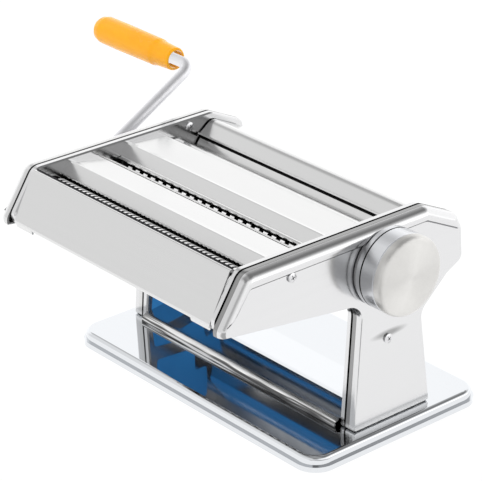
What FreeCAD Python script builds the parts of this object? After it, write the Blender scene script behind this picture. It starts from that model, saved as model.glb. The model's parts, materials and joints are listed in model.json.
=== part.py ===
"""Hand cranked pasta machine, in millimetres.

X runs along the rollers: the setting knob is on +X and the crank on -X.
Y runs from the cutter arm at the front (-Y) to the dough inlet at the rear (+Y).
Z is up, and the origin is the centre of the underside of the base.
Side profiles are written as (y, z, corner radius).
"""
import FreeCAD
import Part
import math
import os

V = FreeCAD.Vector

# Stack of each side, outwards from the middle plane
WALL_IN = 81.0
SHEET = 1.0
RIM_OUT = 84.4
COVER_IN = 85.6
COVER_OUT = 93.0
FACE_RECESS = 0.8
FACE_X = COVER_OUT - FACE_RECESS

# Side outline, clockwise from the front lower corner
OUTLINE = [(-118.1, 94.8, 6.0), (-98.8, 124.2, 7.0), (24.5, 123.6, 7.0), (47.5, 112.6, 6.0),
           (51.0, 86.5, 5.0), (40.0, 81.0, 4.0), (21.5, 64.5, 8.0), (29.4, 8.8, 1.5),
           (-25.8, 8.8, 1.5), (-21.2, 82.0, 10.0)]
BEAD_RADIUS = 5.5
EDGE_RADIUS = 2.2
RECESS_LINE = [(-114.6, 99.4, 0.0), (-108.6, 102.2, 8.0), (-98.0, 117.0, 3.0),
               (23.6, 116.9, 4.0), (47.0, 105.5, 0.0)]

# Base
BASE_LENGTH = 202.4
BASE_DEPTH = 125.0
BASE_TOP = 8.5
BASE_CORNER = 13.0
BASE_STEP = 1.4
BASE_LIP = 3.0

# Smooth rollers: the front one rides on the eccentric axle of the knob
SMOOTH_R = 15.0
SMOOTH_HALF = 80.0
KNOB_Y = -6.4
KNOB_Z = 100.5
ECCENTRIC = 1.1
SMOOTH_FRONT_Y = KNOB_Y + ECCENTRIC
SMOOTH_REAR_Y = 24.9
NECK_R = 9.5
BORE_R = 8.0
AXLE_R = 6.0
AXLE_END_R = 4.8

# Cutter rollers
CUTTER_R = 9.0
GROOVE_R = 7.3
CUTTER_HALF = 79.0
CUTTER_Z = 106.5
CUTTER_SPACING = 16.6
WIDE_FRONT_Y = -52.2
WIDE_PITCH = 6.6
WIDE_LAND = 3.25
NARROW_FRONT_Y = -87.2
NARROW_PITCH = 3.55
NARROW_LAND = 1.7
JOURNAL_R = 5.0
SOCKET_R = 3.35

# Gears, inside the side housings
GEAR_IN = 84.2
GEAR_OUT = 88.6
SMOOTH_TEETH = 14
CUTTER_TEETH = 12
PRESSURE_ANGLE = math.radians(20.0)

# Crank
CRANK_ROD_R = 3.2
CRANK_X = -105.0
CRANK_ANGLE = math.radians(29.6)
CRANK_REACH = 74.5
CRANK_BEND = 8.0
CROSS_PIN_R = 1.3
CROSS_PIN_HALF = 4.8
GRIP_NEAR = -118.5
GRIP_FAR = -190.0

# Knob
KNOB_R = 22.0
KNOB_IN = 93.4
KNOB_OUT = 110.4
KNOB_ROUND = 3.4
KNOB_GROOVES = (96.6, 105.9)
CAP_R = 18.5
CAP_IN = 108.0
CAP_OUT = 112.2
CAP_DOME = 70.0


def rounded_path(points, radii, closed):
    """Lines through the points, with an arc at each corner that has a radius."""
    count = len(points)
    cuts = []
    for i, r in enumerate(radii):
        at_end = not closed and i in (0, count - 1)
        if r <= 0 or at_end:
            cuts.append((points[i], None, points[i]))
            continue
        back = (points[i - 1] - points[i]).normalize()
        ahead = (points[(i + 1) % count] - points[i]).normalize()
        half = back.getAngle(ahead) / 2
        reach = r / math.tan(half)
        middle = (back + ahead).normalize()
        top = points[i] + middle * (r / math.sin(half) - r)
        cuts.append((points[i] + back * reach, top, points[i] + ahead * reach))
    edges = []
    for i, (start, top, end) in enumerate(cuts):
        if top is not None:
            edges.append(Part.Arc(start, top, end).toShape())
        if closed or i < count - 1:
            following = cuts[(i + 1) % count][0]
            if end.distanceToPoint(following) > 1e-6:
                edges.append(Part.LineSegment(end, following).toShape())
    return edges


def rounded_edges(corners, x, closed):
    """Lines and arcs through (y, z, radius) corners in the plane at x."""
    points = [V(x, y, z) for y, z, r in corners]
    return rounded_path(points, [r for y, z, r in corners], closed)


def prism(corners, x0, x1):
    """A closed side profile, pushed from x0 to x1."""
    wire = Part.Wire(rounded_edges(corners, x0, True))
    return Part.Face(wire).extrude(V(x1 - x0, 0, 0))


def shifted(corners, distance, closed=True):
    """The profile moved sideways to its left, with its corner radii to suit."""
    count = len(corners)
    result = []
    for i, (y, z, r) in enumerate(corners):
        before = corners[i - 1]
        after = corners[(i + 1) % count]
        into = V(0, y - before[0], z - before[1])
        out = V(0, after[0] - y, after[1] - z)
        if not closed and i == 0:
            into = out
        if not closed and i == count - 1:
            out = into
        into.normalize()
        out.normalize()
        left = V(0, -into.z - out.z, into.y + out.y)
        move = left * (distance / (1 + into.dot(out)))
        turns_left = into.y * out.z - into.z * out.y > 0
        radius = r - distance if turns_left else r + distance
        result.append((y + move.y, z + move.z, max(radius, 0.0) if r > 0 else 0.0))
    return result


def strip(path, thickness, x0, x1):
    """A folded sheet: its upper face follows the path, its thickness is below."""
    under = shifted(path, -thickness, closed=False)
    return prism(list(path) + under[::-1], x0, x1)


def rod(y, z, radius, x0, x1):
    return Part.makeCylinder(radius, abs(x1 - x0), V(min(x0, x1), y, z), V(1, 0, 0))


def turned(y, z, profile):
    """A closed (x, radius) profile turned about the axis; a third number rounds the corner."""
    points = [V(p[0], y, z + p[1]) for p in profile]
    rounding = [p[2] if len(p) > 2 else 0 for p in profile]
    face = Part.Face(Part.Wire(rounded_path(points, rounding, True)))
    return face.revolve(V(0, y, z), V(1, 0, 0), 360)


def tube(y, z, inner, outer, x0, x1):
    return turned(y, z, [(x0, inner), (x1, inner), (x1, outer), (x0, outer)])


def block(x0, x1, y0, y1, z0, z1):
    return Part.makeBox(x1 - x0, y1 - y0, z1 - z0, V(x0, y0, z0))


def other_side(shape):
    return shape.mirror(V(0, 0, 0), V(1, 0, 0))


def save(name, shapes):
    """Writes one node: a single solid, or a group of separate ones."""
    solids = [solid for shape in shapes for solid in shape.Solids]
    whole = solids[0] if len(solids) == 1 else Part.makeCompound(solids)
    whole.exportStep("parts/" + name + ".step")
    print(name, len(solids), "solids", round(sum(s.Volume for s in solids)), "mm3")
    if not all(s.isValid() and s.Volume > 0 for s in solids):
        print("  bad solid in", name)


# Base tray, its mat and the two brackets that the legs stand on

def plan_slab(length, depth, corner, z0, z1):
    """An upright slab with rounded plan corners, centred on the origin."""
    a, b = length / 2, depth / 2
    slab = block(-a, a, -b, b, z0, z1)
    upright = [e for e in slab.Edges if abs(e.Vertexes[0].Z - e.Vertexes[1].Z) > 1e-6]
    return slab.makeFillet(corner, upright)


def top_rounded(slab, radius):
    top = slab.BoundBox.ZMax
    rim = [e for e in slab.Edges if min(v.Z for v in e.Vertexes) > top - 1e-6]
    return slab.makeFillet(radius, rim)


def base_shell(inset):
    """The stepped outside of the tray, or its inside when inset by the sheet."""
    lip = plan_slab(BASE_LENGTH - 2 * inset, BASE_DEPTH - 2 * inset, BASE_CORNER - inset,
                    -inset, BASE_LIP - inset)
    body = plan_slab(BASE_LENGTH - 2 * (BASE_STEP + inset), BASE_DEPTH - 2 * (BASE_STEP + inset),
                     BASE_CORNER - BASE_STEP - inset, -inset, BASE_TOP - inset)
    return lip.fuse(top_rounded(body, 2.4 - inset)).removeSplitter()


LEG_SCREWS = [(87.0, -14.0), (87.0, 18.0)]
BASE_SCREW_R = 2.0


def leg_screw_places():
    return [(side * x, y) for side in (-1, 1) for x, y in LEG_SCREWS]


def upright_rod(x, y, radius, z0, z1):
    return Part.makeCylinder(radius, z1 - z0, V(x, y, z0))


def make_base():
    tray = base_shell(0).cut(base_shell(SHEET))
    mat = plan_slab(BASE_LENGTH - 2 * (BASE_STEP + 3.0), BASE_DEPTH - 2 * (BASE_STEP + 3.0),
                    BASE_CORNER - BASE_STEP - 3.0, 0, BASE_TOP - SHEET)
    for x, y in leg_screw_places():
        tray = tray.cut(upright_rod(x, y, BASE_SCREW_R, BASE_TOP - 2 * SHEET, BASE_TOP + SHEET))
        mat = mat.cut(upright_rod(x, y, 5.0, -1, BASE_TOP))
    save("base_tray", [tray])
    save("base_mat", [mat])


BRACKET_FOOT = 1.2
BRACKET_WALL = WALL_IN + SHEET


def make_foot_brackets():
    """Folded angles inside the legs, screwed to the base and riveted to the inner wall."""
    brackets = []
    for side in (-1, 1):
        foot = block(BRACKET_WALL, 90.6, -21.0, 24.0, BASE_TOP, BASE_TOP + BRACKET_FOOT)
        upright = block(BRACKET_WALL, BRACKET_WALL + BRACKET_FOOT, -18.0, 19.0, BASE_TOP, 34.0)
        angle = foot.fuse(upright).removeSplitter()
        for x, y in LEG_SCREWS:
            angle = angle.cut(upright_rod(x, y, BASE_SCREW_R, BASE_TOP - 1, BASE_TOP + 3))
        brackets.append(angle if side > 0 else other_side(angle))
    save("foot_brackets", brackets)


def make_base_screws():
    screws = []
    nuts = []
    head_top = BASE_TOP - SHEET
    foot_top = BASE_TOP + BRACKET_FOOT
    for x, y in leg_screw_places():
        head = upright_rod(x, y, 3.8, head_top - 2.4, head_top)
        screws.append(head.fuse(upright_rod(x, y, BASE_SCREW_R, head_top, foot_top + 4.5)))
        flats = [V(x + 3.9 * math.cos(a), y + 3.9 * math.sin(a), foot_top)
                 for a in (math.radians(30 + 60 * k) for k in range(7))]
        nut = Part.Face(Part.makePolygon(flats)).extrude(V(0, 0, 3.2))
        nuts.append(nut.cut(upright_rod(x, y, BASE_SCREW_R, foot_top - 1, foot_top + 5)))
    save("base_screws", screws)
    save("base_nuts", nuts)


# Side housings: an inner wall with a turned rim, and an outer cover with a rolled bead

ROD_R = 3.0
TAP_DEPTH = 6.0
TIE_RODS = [(-104.0, 101.5), (41.0, 89.0)]
ARM_SCREW = (-70.5, 114.2)
LEG_SCREW = (-2.9, 57.2)
WALL_SCREW = (7.6, 119.3)
SOCKET_HOLES = [(WIDE_FRONT_Y + CUTTER_SPACING, CUTTER_Z),
                (NARROW_FRONT_Y + CUTTER_SPACING, CUTTER_Z), (SMOOTH_REAR_Y, KNOB_Z)]
CUTTER_AXES = [NARROW_FRONT_Y, NARROW_FRONT_Y + CUTTER_SPACING,
               WIDE_FRONT_Y, WIDE_FRONT_Y + CUTTER_SPACING]
BUSH_R = 8.0
NECK_HOLE_R = NECK_R + 2 * ECCENTRIC
LEG_OPENING = (-24.6, 28.0, 0.0, 12.0)
SCREW_R = 1.6
RIM_CHAMFER = 0.8


def inner_side(wall_holes):
    """The dished inner wall of the +X side, open outwards."""
    dish = prism(OUTLINE, WALL_IN, RIM_OUT)
    rim = [e for e in dish.Edges if e.BoundBox.XMax < WALL_IN + 1e-6]
    dish = dish.makeChamfer(RIM_CHAMFER, rim)
    dish = dish.cut(prism(shifted(OUTLINE, -SHEET), WALL_IN + SHEET, RIM_OUT + 1))
    dish = dish.cut(block(WALL_IN + SHEET, RIM_OUT + 1, *LEG_OPENING))
    for y, z, radius in wall_holes:
        dish = dish.cut(rod(y, z, radius, WALL_IN - 1, WALL_IN + 3))
    return dish


def make_inner_sides():
    shared = [(y, CUTTER_Z, JOURNAL_R + 0.8) for y in CUTTER_AXES]
    shared.append((SMOOTH_REAR_Y, KNOB_Z, BUSH_R))
    shared += [(y, z, SCREW_R) for y, z in TIE_RODS + [WALL_SCREW]]
    right = inner_side(shared + [(KNOB_Y, KNOB_Z, BUSH_R)])
    left = inner_side(shared + [(KNOB_Y, KNOB_Z, NECK_HOLE_R)])
    save("inner_side_right", [right])
    save("inner_side_left", [other_side(left)])


def rounded_cover(inset, depth):
    """The solid outside of a cover: small edge radii, and the big bead along the top."""
    lines = shifted(OUTLINE, -inset) if inset else OUTLINE
    front, ridge, brow, heel, back = lines[:5]
    clear = 9.0
    low_lines = [(front[0] - clear, front[1] + clear * 0.13, 2.5), (front[0] - clear, 140, 3.0),
                 (heel[0] - 1.2, 140, 3.0)] + lines[4:]
    plain = prism(low_lines, COVER_IN, COVER_OUT - inset)
    bead_lines = [front, ridge, brow, heel, (heel[0] + 14, heel[1] - 26, 8.0),
                  (heel[0] + 14, -20, 8.0), (-60, -20, 8.0), (-60, front[1] - 40, 8.0)]
    bead = prism(bead_lines, COVER_IN, COVER_OUT - inset)
    outer = COVER_OUT - inset - 1e-6
    plain = plain.makeFillet(EDGE_RADIUS - inset,
                             [e for e in plain.Edges if e.BoundBox.XMin > outer])
    bead = bead.makeFillet(BEAD_RADIUS - inset,
                           [e for e in bead.Edges if e.BoundBox.XMin > outer])
    solid = plain.common(bead)
    return solid.common(block(0, depth, -150, 90, 0, 150)) if depth else solid


def face_panel(x0, x1, inset=0.0):
    """The sunk panel of the side face: below the bead, and open at the lower edges."""
    below = [(70, 100, 0), (70, 0, 0), (-40, 0, 0), (-40, 60, 0), (-125, 80, 0), (-125, 97, 0)]
    return prism(shifted(RECESS_LINE + below, -inset) if inset else RECESS_LINE + below, x0, x1)


def make_outer_covers():
    outside = rounded_cover(0, 0)
    inside = rounded_cover(SHEET, FACE_X - SHEET)
    recess = face_panel(FACE_X, COVER_OUT + 1)
    cover = outside.cut(inside).cut(recess)
    cover = cover.cut(block(COVER_IN - 1, FACE_X - SHEET, *LEG_OPENING))
    for y, z in (ARM_SCREW, LEG_SCREW):
        cover = cover.cut(rod(y, z, SCREW_R, COVER_IN, COVER_OUT + 1))
    right = cover.cut(rod(KNOB_Y, KNOB_Z, JOURNAL_R + 1.5, COVER_IN, COVER_OUT + 1))
    left = cover
    for y, z in SOCKET_HOLES:
        left = left.cut(rod(y, z, JOURNAL_R + 1.5, COVER_IN, COVER_OUT + 1))
    save("outer_cover_right", [right])
    save("outer_cover_left", [other_side(left)])


# Sheet metal between the walls

PLATE_HALF = WALL_IN
PLATE_SHEET = 0.8
COVER_GAP = 1.0
FRONT_PANEL = [(-98.3, 121.0, 0.0), (-98.2, 122.6, 0.7), (-100.2, 122.9, 0.9),
               (-113.9, 97.2, 1.2), (-110.9, 96.0, 0.0)]
FRONT_DIVIDER = [(-80.8, 116.0, 0.0), (-76.5, 122.4, 1.0), (-73.6, 121.9, 3.0),
                 (-56.9, 120.2, 3.0), (-50.8, 116.6, 0.0)]
MIDDLE_DIVIDER = [(-41.2, 115.5, 0.0), (-37.3, 122.2, 1.0), (-35.0, 121.8, 3.0),
                  (-12.6, 120.8, 3.0), (-7.6, 117.4, 0.0)]
REAR_COVER = [(13.4, 114.5, 0.0), (14.8, 113.8, 0.6), (20.6, 118.1, 6.0), (24.0, 120.2, 6.0),
              (45.4, 109.9, 5.0), (48.3, 89.5, 0.0)]
DEFLECTOR = [(21.0, 51.5, 0.0), (20.0, 63.5, 5.0), (33.5, 82.5, 0.0)]
PANEL_TAB = [(-113.4, 97.6, 0.0), (-112.6, 94.9, 0.0)]
TAB_ENDS = (66.0, 80.0)
SLIDE_PLATE = [(-29.5, 8.7, 0.0), (-29.0, 13.0, 4.0), (-10.5, 15.2, 10.0), (19.5, 9.5, 0.0)]


def make_plates():
    for name, path, half in (("front_divider", FRONT_DIVIDER, PLATE_HALF),
                             ("middle_divider", MIDDLE_DIVIDER, PLATE_HALF),
                             ("rear_cover", REAR_COVER, PLATE_HALF - COVER_GAP),
                             ("deflector_plate", DEFLECTOR, PLATE_HALF),
                             ("slide_plate", SLIDE_PLATE, PLATE_HALF)):
        save(name, [strip(path, PLATE_SHEET, -half, half)])
    panel = strip(FRONT_PANEL, PLATE_SHEET, -PLATE_HALF, PLATE_HALF)
    tab = strip(PANEL_TAB, PLATE_SHEET, *TAB_ENDS)
    save("front_panel", [panel.fuse(tab).fuse(other_side(tab)).removeSplitter()])


def make_tie_rods():
    rods = []
    for y, z in TIE_RODS:
        bar = rod(y, z, ROD_R, -WALL_IN, WALL_IN)
        for side in (-1, 1):
            bar = bar.cut(rod(y, z, SCREW_R, side * (WALL_IN - TAP_DEPTH), side * (WALL_IN + 1)))
        rods.append(bar)
    save("tie_rods", rods)


def make_leg_posts():
    """Short posts on the inner walls, tapped for the leg screws of the covers."""
    y, z = LEG_SCREW
    face = FACE_X - SHEET
    post = rod(y, z, ROD_R, WALL_IN + SHEET, face).cut(rod(y, z, SCREW_R, face - TAP_DEPTH, face + 1))
    save("leg_posts", [post, other_side(post)])


LUG_HALF = 5.0


def make_cover_lugs():
    """Small cranked lugs on the inner walls, which the arm screws of the covers bite into."""
    y, z = ARM_SCREW
    wall, face = WALL_IN + SHEET, FACE_X - SHEET
    near, far = y - LUG_HALF, y + LUG_HALF
    foot = block(wall, wall + BRACKET_FOOT, near, far, z + 3.0, z + 7.3)
    arm = block(wall, face, near, far, z + 3.0, z + 3.0 + BRACKET_FOOT)
    ear = block(face - BRACKET_FOOT, face, near, far, z - 2.3, z + 3.0 + BRACKET_FOOT)
    lug = foot.fuse(arm).fuse(ear).removeSplitter()
    lug = lug.cut(rod(y, z, SCREW_R, RIM_OUT, COVER_OUT))
    save("cover_lugs", [lug, other_side(lug)])


# Screws with pan heads

def pan_screw(y, z, x, head_r, length):
    """A screw whose head sits on the face at x and points inwards to -X."""
    rise = head_r * 0.55
    return turned(y, z, [(x - length, 0), (x - length, SCREW_R), (x, SCREW_R), (x, head_r),
                         (x + rise * 0.6, head_r * 0.86), (x + rise, head_r * 0.5),
                         (x + rise, 0)])


def make_screws():
    cover = [pan_screw(*ARM_SCREW, FACE_X, 2.65, 3.2),
             pan_screw(*LEG_SCREW, FACE_X, 2.65, SHEET + TAP_DEPTH - 1)]
    save("cover_screws", cover + [other_side(s) for s in cover])
    rod_ends = [pan_screw(y, z, WALL_IN + SHEET, 2.65, SHEET + TAP_DEPTH - 1)
                for y, z in TIE_RODS]
    save("tie_rod_screws", rod_ends + [other_side(s) for s in rod_ends])
    wall = [other_side(pan_screw(*WALL_SCREW, -WALL_IN, 2.4, SHEET + 2.5))]
    save("wall_screws", wall + [other_side(s) for s in wall])


# Bearings

PLATE_OUT = WALL_IN + SHEET + 1.8
BUSH_IN = WALL_IN - 0.6


def cutter_bearing():
    """One nylon plate behind the wall carries the four cutter journals."""
    low, high = CUTTER_Z - 9.5, CUTTER_Z + 8.2
    outline = [(CUTTER_AXES[0] - 9.0, low, 5.0), (CUTTER_AXES[0] - 9.0, high, 5.0),
               (CUTTER_AXES[3] + 9.0, high, 5.0), (CUTTER_AXES[3] + 9.0, low, 5.0)]
    plate = prism(outline, WALL_IN + SHEET, PLATE_OUT)
    for y in CUTTER_AXES:
        plate = plate.fuse(rod(y, CUTTER_Z, JOURNAL_R + 0.8, BUSH_IN, WALL_IN + SHEET))
    for y in CUTTER_AXES:
        plate = plate.cut(rod(y, CUTTER_Z, JOURNAL_R + 0.05, WALL_IN - 2, PLATE_OUT + 1))
    return plate


def flanged_bush(y, z, bore):
    return turned(y, z, [(BUSH_IN, bore), (PLATE_OUT, bore), (PLATE_OUT, BUSH_R + 1.6),
                         (WALL_IN + SHEET, BUSH_R + 1.6), (WALL_IN + SHEET, BUSH_R),
                         (BUSH_IN, BUSH_R)])


AXLE_BRACKET_IN = 89.2
AXLE_BRACKET_OUT = 90.4


def make_bearings():
    bearing = cutter_bearing()
    save("cutter_bearing_right", [bearing])
    save("cutter_bearing_left", [other_side(bearing)])
    rear = flanged_bush(SMOOTH_REAR_Y, KNOB_Z, JOURNAL_R + 1.05)
    axle = flanged_bush(KNOB_Y, KNOB_Z, AXLE_END_R + 0.05)
    save("roller_bushes", [rear, other_side(rear), axle])


def make_axle_bracket():
    """A cranked strap that carries the left end of the eccentric axle outside the gears."""
    foot_z, knee_z = 68.0, 79.5
    half = 7.0
    strap = block(AXLE_BRACKET_IN, AXLE_BRACKET_OUT, KNOB_Y - half, KNOB_Y + half,
                  knee_z, KNOB_Z + half)
    strap = strap.fuse(block(WALL_IN + SHEET, AXLE_BRACKET_OUT, KNOB_Y - half, KNOB_Y + half,
                             knee_z - BRACKET_FOOT, knee_z))
    strap = strap.fuse(block(WALL_IN + SHEET, WALL_IN + SHEET + BRACKET_FOOT,
                             KNOB_Y - half, KNOB_Y + half, foot_z, knee_z))
    strap = strap.removeSplitter()
    strap = strap.cut(rod(KNOB_Y, KNOB_Z, AXLE_END_R + 0.05,
                          AXLE_BRACKET_IN - 1, AXLE_BRACKET_OUT + 1))
    save("axle_bracket", [other_side(strap)])


# Scrapers under the rollers

def make_scrapers():
    smooth = []
    for y, away in ((SMOOTH_FRONT_Y, -1), (SMOOTH_REAR_Y, 1)):
        tip = (y - away * 1.0, KNOB_Z - SMOOTH_R - ECCENTRIC - 0.9)
        path = [(tip[0] - away * 2.0, tip[1] - 0.2, 0.0), (tip[0], tip[1] - 0.2, 1.0),
                (tip[0] + away * 3.0, tip[1] - 7.0, 0.0)]
        ordered = path if away > 0 else path[::-1]
        smooth.append(strip(ordered, 0.5, -PLATE_HALF, PLATE_HALF))
    save("smooth_scrapers", smooth)


# Gears

def involute(angle):
    return math.tan(angle) - angle


def gear(y, z, teeth, spacing, root, tip, thickness, phase, bore, x0, x1):
    """A spur gear with involute flanks; thickness is the tooth's share of the pitch."""
    pitch_r = spacing / 2
    base_r = pitch_r * math.cos(PRESSURE_ANGLE)
    half_tooth = math.pi * thickness / teeth
    flank = []
    for k in range(4):
        r = root + (tip - root) * k / 3
        roll = math.acos(min(1.0, base_r / r))
        flank.append((r, half_tooth + involute(PRESSURE_ANGLE) - involute(roll)))
    points = []
    for tooth in range(teeth):
        middle = phase + 2 * math.pi * tooth / teeth
        for r, half in flank:
            points.append((r, middle - half))
        for r, half in reversed(flank):
            points.append((r, middle + half))
    corners = [V(x0, y + r * math.cos(a), z + r * math.sin(a)) for r, a in points]
    wheel = Part.Face(Part.makePolygon(corners + corners[:1])).extrude(V(x1 - x0, 0, 0))
    return wheel.cut(rod(y, z, bore, x0 - 1, x1 + 1))


def gear_pair(front_y, rear_y, z, teeth, root, tip, thickness, bores, side):
    """Two gears in mesh: a tooth of the front one stands in a gap of the rear one."""
    spacing = rear_y - front_y
    x0, x1 = (GEAR_IN, GEAR_OUT) if side > 0 else (-GEAR_OUT, -GEAR_IN)
    front = gear(front_y, z, teeth, spacing, root, tip, thickness, 0.0, bores[0], x0, x1)
    gap = math.pi + math.pi / teeth
    rear = gear(rear_y, z, teeth, spacing, root, tip, thickness, gap, bores[1], x0, x1)
    return front, rear


def make_gears():
    front, rear = gear_pair(SMOOTH_FRONT_Y, SMOOTH_REAR_Y, KNOB_Z, SMOOTH_TEETH, 12.7, 17.1,
                            0.37, (NECK_R, JOURNAL_R + 1.0), -1)
    save("smooth_gear_front", [front])
    save("smooth_gear_rear", [rear])
    for name, y, side in (("narrow", NARROW_FRONT_Y, -1), ("wide", WIDE_FRONT_Y, 1)):
        front, rear = gear_pair(y, y + CUTTER_SPACING, CUTTER_Z, CUTTER_TEETH, 6.9, 9.3,
                                0.46, (JOURNAL_R, JOURNAL_R), side)
        save(name + "_gear_front", [front])
        save(name + "_gear_rear", [rear])


# Rollers

JOURNAL_LONG = 90.5
JOURNAL_SHORT = PLATE_OUT + 0.4
SOCKET_DEPTH = 14.0
SLOT_DEPTH = 4.0
SLOT_WIDTH = 3.0


def socket(y, z):
    """The hole in a roller's left end for the crank, with a slot for the crank's cross pin."""
    bore = rod(y, z, SOCKET_R, -JOURNAL_LONG - 1, -JOURNAL_LONG + SOCKET_DEPTH)
    slot = block(-JOURNAL_LONG - 1, -JOURNAL_LONG + SLOT_DEPTH, y - SLOT_WIDTH / 2,
                 y + SLOT_WIDTH / 2, z - 8, z + 8)
    return bore.fuse(slot)


def cutter_roller(y, lands, left_end, right_end):
    """Turned body between two journals; lands is its grooved profile."""
    profile = [(-left_end, 0), (-left_end, JOURNAL_R), (-CUTTER_HALF, JOURNAL_R)]
    profile += lands
    profile += [(CUTTER_HALF, JOURNAL_R), (right_end, JOURNAL_R), (right_end, 0)]
    return turned(y, CUTTER_Z, profile)


def square_grooves(pitch, land, start_high):
    """Flat lands and flat bottomed grooves along the roller."""
    count = int(CUTTER_HALF * 2 / pitch)
    first = -count * pitch / 2 + (0 if start_high else pitch / 2)
    gap = (pitch - 2 * land) / 4
    points = []
    for k in range(count):
        start = first + k * pitch + gap
        points += [(start, GROOVE_R), (start, CUTTER_R), (start + land, CUTTER_R),
                   (start + land, GROOVE_R)]
    inside = [p for p in points if abs(p[0]) <= CUTTER_HALF]
    return [(-CUTTER_HALF, GROOVE_R)] + inside + [(CUTTER_HALF, GROOVE_R)]


CUTTERS = [("wide", WIDE_FRONT_Y, WIDE_PITCH, WIDE_LAND, 1),
           ("narrow", NARROW_FRONT_Y, NARROW_PITCH, NARROW_LAND, -1)]


def make_cutter_rollers():
    for name, front_y, pitch, land, side in CUTTERS:
        for place, y in (("front", front_y), ("rear", front_y + CUTTER_SPACING)):
            lands = square_grooves(pitch, land, place == "front")
            left = JOURNAL_SHORT if side > 0 else GEAR_OUT
            right = GEAR_OUT if side > 0 else JOURNAL_SHORT
            if place == "rear":
                left = JOURNAL_LONG
            roller = cutter_roller(y, lands, left, right)
            if place == "rear":
                roller = roller.cut(socket(y, CUTTER_Z))
            save(name + "_roller_" + place, [roller])


# Combs that lift the cut strips out of the grooves, fixed between the walls

COMB_OFFSET = 3.0
COMB_SHEET = 0.8
COMB_FOOT_Z = 91.5
COMB_CLEAR = 0.4
COMB_SIDE_CLEAR = 0.3


def groove_middles(profile):
    """Middles of the grooves between the first land and the last."""
    inner = profile[1:-1]
    return [(a[0] + b[0]) / 2 for a, b in zip(inner, inner[1:])
            if a[1] == b[1] == GROOVE_R and a[0] < b[0]]


def under_circle(radius):
    """Height that clears a roller circle from below, at the comb's distance from the axis."""
    return CUTTER_Z - math.sqrt(radius ** 2 - COMB_OFFSET ** 2) - COMB_CLEAR


def comb(y, toward, middles, half_tooth):
    """A toothed strip under one roller, on the side where the pair meets."""
    near = y + toward * COMB_OFFSET
    low, high = under_circle(CUTTER_R), under_circle(GROOVE_R)
    points = [V(-PLATE_HALF, near, COMB_FOOT_Z), V(-PLATE_HALF, near, low)]
    for x in middles:
        points += [V(x - half_tooth, near, low), V(x - half_tooth, near, high),
                   V(x + half_tooth, near, high), V(x + half_tooth, near, low)]
    points += [V(PLATE_HALF, near, low), V(PLATE_HALF, near, COMB_FOOT_Z)]
    strip_face = Part.Face(Part.makePolygon(points + points[:1]))
    return strip_face.extrude(V(0, toward * COMB_SHEET, 0))


def make_combs():
    for name, y, pitch, land, side in CUTTERS:
        half_tooth = land / 2 - COMB_SIDE_CLEAR
        front, rear = [groove_middles(square_grooves(pitch, land, high)) for high in (True, False)]
        save(name + "_combs", [comb(y, 1, front, half_tooth),
                               comb(y + CUTTER_SPACING, -1, rear, half_tooth)])


def make_smooth_rollers():
    end = JOURNAL_R + 1.0
    rear = turned(SMOOTH_REAR_Y, KNOB_Z, [
        (-JOURNAL_LONG, 0), (-JOURNAL_LONG, end), (-SMOOTH_HALF, end),
        (-SMOOTH_HALF, SMOOTH_R - 0.6), (-SMOOTH_HALF + 0.6, SMOOTH_R),
        (SMOOTH_HALF - 0.6, SMOOTH_R), (SMOOTH_HALF, SMOOTH_R - 0.6),
        (SMOOTH_HALF, end), (JOURNAL_SHORT, end), (JOURNAL_SHORT, 0)])
    rear = rear.cut(socket(SMOOTH_REAR_Y, KNOB_Z))
    save("smooth_roller_rear", [rear])
    front = turned(SMOOTH_FRONT_Y, KNOB_Z, [
        (-GEAR_OUT, BORE_R), (-GEAR_OUT, NECK_R), (-SMOOTH_HALF, NECK_R),
        (-SMOOTH_HALF, SMOOTH_R - 0.6), (-SMOOTH_HALF + 0.6, SMOOTH_R),
        (SMOOTH_HALF - 0.6, SMOOTH_R), (SMOOTH_HALF, SMOOTH_R - 0.6), (SMOOTH_HALF, BORE_R)])
    save("smooth_roller_front", [front])
    save("floating_sleeve", [tube(SMOOTH_FRONT_Y, KNOB_Z, AXLE_R + 0.05, BORE_R - 0.05,
                                  -GEAR_OUT, SMOOTH_HALF)])


# Knob, its eccentric axle and the ring that it turns against

WEB_IN = 95.0
WEB_OUT = 97.5
STUB_END = 106.6
PIN_REACH = 13.5
PIN_R = 1.2
FLAT_LEVEL = 3.5
KNOB_TURN = math.radians(170.0)


def flatted(shape, y, z, level, x0, x1):
    """Cuts a flat along a shaft, so that what sits on it can slide but not turn."""
    return shape.cut(block(x0, x1, y - 12, y + 12, z + level, z + 12))


def make_axle():
    axle = rod(KNOB_Y, KNOB_Z, AXLE_END_R, -AXLE_BRACKET_OUT - 0.4, STUB_END)
    axle = flatted(axle, KNOB_Y, KNOB_Z, FLAT_LEVEL, WEB_IN - 1.0, STUB_END + 1)
    offset = rod(SMOOTH_FRONT_Y, KNOB_Z, AXLE_R, -GEAR_OUT, SMOOTH_HALF + 0.2)
    save("eccentric_axle", [axle.fuse(offset).removeSplitter()])


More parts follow.
